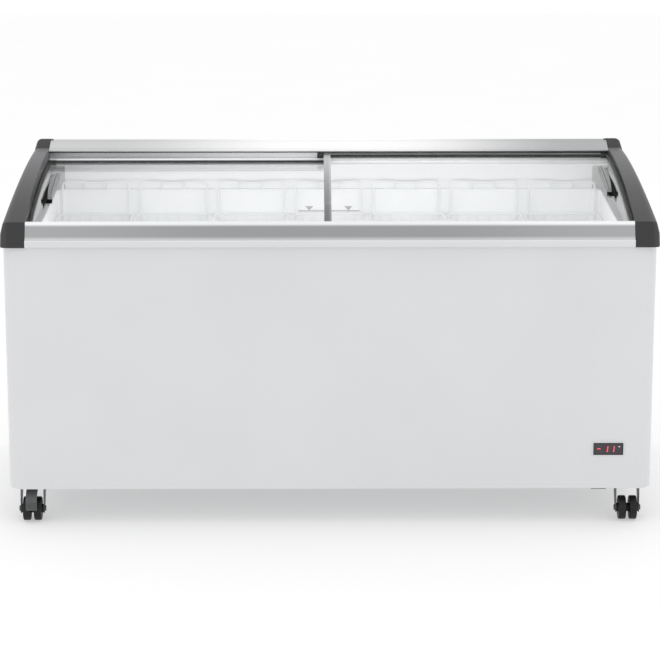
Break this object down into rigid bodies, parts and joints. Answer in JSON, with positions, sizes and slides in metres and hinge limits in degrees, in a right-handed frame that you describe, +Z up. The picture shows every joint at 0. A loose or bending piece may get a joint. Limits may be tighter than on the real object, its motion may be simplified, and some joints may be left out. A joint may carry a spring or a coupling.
{
  "type": "chest freezer",
  "caption": "Curved-top glass display chest freezer with sliding lids, hanging wire baskets, a front thermostat and swivel casters.",
  "frame": {"origin": "on the floor, under the middle of the object's bounding box", "axes": "+X to the right seen from the front, +Y to the back, +Z up"},
  "size_m": [1.63, 0.71, 0.8588],
  "materials": {
    "painted_white": "gloss",
    "galvanised": "satin",
    "charcoal_abs": "satin",
    "white_plastic": "satin",
    "grey_plastic": "satin",
    "liner_white": "satin",
    "insulation": "matte",
    "rail_aluminium": "satin",
    "clear_glass": "polished",
    "lid_profile_grey": "satin",
    "wire_white": "satin",
    "black_plastic": "satin",
    "display": "gloss",
    "compressor_black": "satin",
    "rubber_black": "matte",
    "fin_aluminium": "satin",
    "copper": "satin",
    "zinc_steel": "satin",
    "bright_steel": "satin",
    "wheel_black": "satin",
    "fan_grey": "satin"
  },
  "bodies": {
    "cabinet": {"outer_wrap": "painted_white", "rear_panel": "galvanised", "base_pan": "galvanised", "inner_liner": "liner_white", "foam_insulation": "insulation", "collar_frame": "white_plastic", "bow_left": "charcoal_abs", "bow_right": "charcoal_abs", "rear_cap_left": "charcoal_abs", "rear_cap_right": "charcoal_abs", "side_lining_left": "grey_plastic", "side_lining_right": "grey_plastic", "front_trim": "white_plastic", "front_rail": "rail_aluminium", "rear_rail": "rail_aluminium", "thermostat_housing": "black_plastic", "thermostat_bezel": "white_plastic", "thermostat_window": "display", "compressor": "compressor_black", "compressor_grommets": "rubber_black", "condenser_coil": "fin_aluminium", "fan_shroud": "galvanised", "fan_motor": "zinc_steel", "filter_drier": "copper", "refrigerant_lines": "copper", "evaporator_coil": "copper", "vent_grille": "black_plastic", "cord_gland": "black_plastic", "drain_spout": "black_plastic", "caster_plates": "zinc_steel", "caster_bolts": "bright_steel"},
    "lid_left": {"lid_glass_left": "clear_glass", "lid_front_profile_left": "lid_profile_grey", "lid_rear_profile_left": "lid_profile_grey", "lid_stile_left": "rail_aluminium", "lid_handle_left": "grey_plastic"},
    "lid_right": {"lid_glass_right": "clear_glass", "lid_front_profile_right": "lid_profile_grey", "lid_rear_profile_right": "lid_profile_grey", "lid_stile_right": "rail_aluminium", "lid_handle_right": "grey_plastic"},
    "basket_1": {"basket_1": "wire_white"},
    "basket_2": {"basket_2": "wire_white"},
    "basket_3": {"basket_3": "wire_white"},
    "basket_4": {"basket_4": "wire_white"},
    "basket_5": {"basket_5": "wire_white"},
    "basket_6": {"basket_6": "wire_white"},
    "basket_7": {"basket_7": "wire_white"},
    "fan_blade": {"fan_blade": "fan_grey"},
    "drain_plug": {"drain_plug": "rubber_black"},
    "caster_fork_front_left": {"caster_fork_front_left": "zinc_steel"},
    "caster_wheels_front_left": {"caster_wheels_front_left": "wheel_black"},
    "caster_fork_front_right": {"caster_fork_front_right": "zinc_steel"},
    "caster_wheels_front_right": {"caster_wheels_front_right": "wheel_black"},
    "caster_fork_rear_left": {"caster_fork_rear_left": "zinc_steel"},
    "caster_wheels_rear_left": {"caster_wheels_rear_left": "wheel_black"},
    "caster_fork_rear_right": {"caster_fork_rear_right": "zinc_steel"},
    "caster_wheels_rear_right": {"caster_wheels_rear_right": "wheel_black"},
    "brake_pedal_front_left": {"brake_pedal_front_left": "fan_grey"},
    "brake_pedal_rear_right": {"brake_pedal_rear_right": "fan_grey"}
  },
  "joints": [
    {"name": "lid_left_slide", "type": "slide", "parent": "cabinet", "child": "lid_left", "axis": [1, 0, 0], "range_m": [0, 0.7]},
    {"name": "lid_right_slide", "type": "slide", "parent": "cabinet", "child": "lid_right", "axis": [1, 0, 0], "range_m": [-0.7, 0]},
    {"name": "basket_1_lift", "type": "slide", "parent": "cabinet", "child": "basket_1", "axis": [0, 0, 1], "range_m": [0, 0.005]},
    {"name": "basket_2_lift", "type": "slide", "parent": "cabinet", "child": "basket_2", "axis": [0, 0, 1], "range_m": [0, 0.005]},
    {"name": "basket_3_lift", "type": "slide", "parent": "cabinet", "child": "basket_3", "axis": [0, 0, 1], "range_m": [0, 0.005]},
    {"name": "basket_4_lift", "type": "slide", "parent": "cabinet", "child": "basket_4", "axis": [0, 0, 1], "range_m": [0, 0.005]},
    {"name": "basket_5_lift", "type": "slide", "parent": "cabinet", "child": "basket_5", "axis": [0, 0, 1], "range_m": [0, 0.005]},
    {"name": "basket_6_lift", "type": "slide", "parent": "cabinet", "child": "basket_6", "axis": [0, 0, 1], "range_m": [0, 0.005]},
    {"name": "basket_7_lift", "type": "slide", "parent": "cabinet", "child": "basket_7", "axis": [0, 0, 1], "range_m": [0, 0.005]},
    {"name": "fan_spin", "type": "hinge", "parent": "cabinet", "child": "fan_blade", "pos_m": [0.6, -0.053, 0.205], "axis": [0, 1, 0], "continuous": true},
    {"name": "drain_plug_pull", "type": "slide", "parent": "cabinet", "child": "drain_plug", "axis": [0, 0, 1], "range_m": [0, 0.03]},
    {"name": "caster_front_left_swivel", "type": "hinge", "parent": "cabinet", "child": "caster_fork_front_left", "pos_m": [-0.754, -0.295, 0.086], "axis": [0, 0, 1], "continuous": true},
    {"name": "caster_front_left_roll", "type": "hinge", "parent": "caster_fork_front_left", "child": "caster_wheels_front_left", "pos_m": [-0.754, -0.315, 0.03], "axis": [1, 0, 0], "continuous": true},
    {"name": "caster_front_right_swivel", "type": "hinge", "parent": "cabinet", "child": "caster_fork_front_right", "pos_m": [0.754, -0.295, 0.086], "axis": [0, 0, 1], "continuous": true},
    {"name": "caster_front_right_roll", "type": "hinge", "parent": "caster_fork_front_right", "child": "caster_wheels_front_right", "pos_m": [0.754, -0.315, 0.03], "axis": [1, 0, 0], "continuous": true},
    {"name": "caster_rear_left_swivel", "type": "hinge", "parent": "cabinet", "child": "caster_fork_rear_left", "pos_m": [-0.754, 0.295, 0.086], "axis": [0, 0, 1], "continuous": true},
    {"name": "caster_rear_left_roll", "type": "hinge", "parent": "caster_fork_rear_left", "child": "caster_wheels_rear_left", "pos_m": [-0.754, 0.315, 0.03], "axis": [1, 0, 0], "continuous": true},
    {"name": "caster_rear_right_swivel", "type": "hinge", "parent": "cabinet", "child": "caster_fork_rear_right", "pos_m": [0.754, 0.295, 0.086], "axis": [0, 0, 1], "continuous": true},
    {"name": "caster_rear_right_roll", "type": "hinge", "parent": "caster_fork_rear_right", "child": "caster_wheels_rear_right", "pos_m": [0.754, 0.315, 0.03], "axis": [1, 0, 0], "continuous": true},
    {"name": "brake_front_left_press", "type": "hinge", "parent": "caster_fork_front_left", "child": "brake_pedal_front_left", "pos_m": [-0.754, -0.3236, 0.0805], "axis": [1, 0, 0], "range_deg": [0, 5], "stiffness_Nm_per_rad": 0.4},
    {"name": "brake_rear_right_press", "type": "hinge", "parent": "caster_fork_rear_right", "child": "brake_pedal_rear_right", "pos_m": [0.754, 0.3236, 0.0805], "axis": [-1, 0, 0], "range_deg": [0, 5], "stiffness_Nm_per_rad": 0.4}
  ]
}
